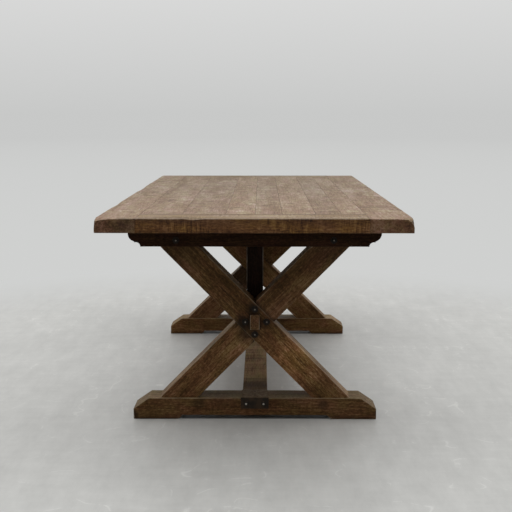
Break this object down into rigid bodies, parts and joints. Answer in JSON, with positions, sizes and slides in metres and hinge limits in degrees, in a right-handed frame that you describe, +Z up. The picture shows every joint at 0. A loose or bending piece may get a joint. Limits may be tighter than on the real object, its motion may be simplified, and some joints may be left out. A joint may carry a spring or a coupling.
{
  "type": "sawbuck table",
  "caption": "Rustic plank-topped dining table on X-shaped trestles with half-lapped arms, ogee bearers, sole feet, two stretchers and dark iron straps and bolts.",
  "frame": {"origin": "on the floor, under the middle of the top", "axes": "+Y along the table's length, +X across it, +Z up; the front trestle is at -Y"},
  "size_m": [1.01, 2.134, 0.762],
  "materials": {
    "top_planks": "dry, worn, brown-grey oiled top with saw marks",
    "trestle_timber": "dark brown stain, rubbed through on the edges",
    "stretcher_timber": "dark brown stain, rubbed through on the edges",
    "dark_post": "near-black stain, matt",
    "tongue_wood": "raw, hidden inside the top",
    "strap_iron": "blackened, rubbed on the arrises",
    "fastener_iron": "blackened, polished on the crown of the heads"
  },
  "bodies": {
    "root": {"side_plank_left": "top_planks", "side_plank_right": "top_planks", "end_plank_front": "top_planks", "end_plank_rear": "top_planks", "field_plank_1": "top_planks", "field_plank_2": "top_planks", "field_plank_3": "top_planks", "field_plank_4": "top_planks", "field_plank_5": "top_planks", "field_plank_6": "top_planks", "field_plank_7": "top_planks", "plank_tongues": "tongue_wood", "foot_front": "trestle_timber", "arm_left_front": "trestle_timber", "arm_right_front": "trestle_timber", "bearer_front": "trestle_timber", "post_front": "dark_post", "strap_front": "strap_iron", "foot_rear": "trestle_timber", "arm_left_rear": "trestle_timber", "arm_right_rear": "trestle_timber", "bearer_rear": "trestle_timber", "post_rear": "dark_post", "strap_rear": "strap_iron", "upper_stretcher": "stretcher_timber", "lower_stretcher": "stretcher_timber", "crossing_screws": "fastener_iron", "washers": "fastener_iron", "bearer_bolts": "fastener_iron", "bearer_nuts": "fastener_iron", "strap_screws": "fastener_iron", "strap_leaf_screws": "fastener_iron", "foot_screws": "fastener_iron", "top_screws": "fastener_iron", "post_screws": "fastener_iron"}
  },
  "joints": []
}
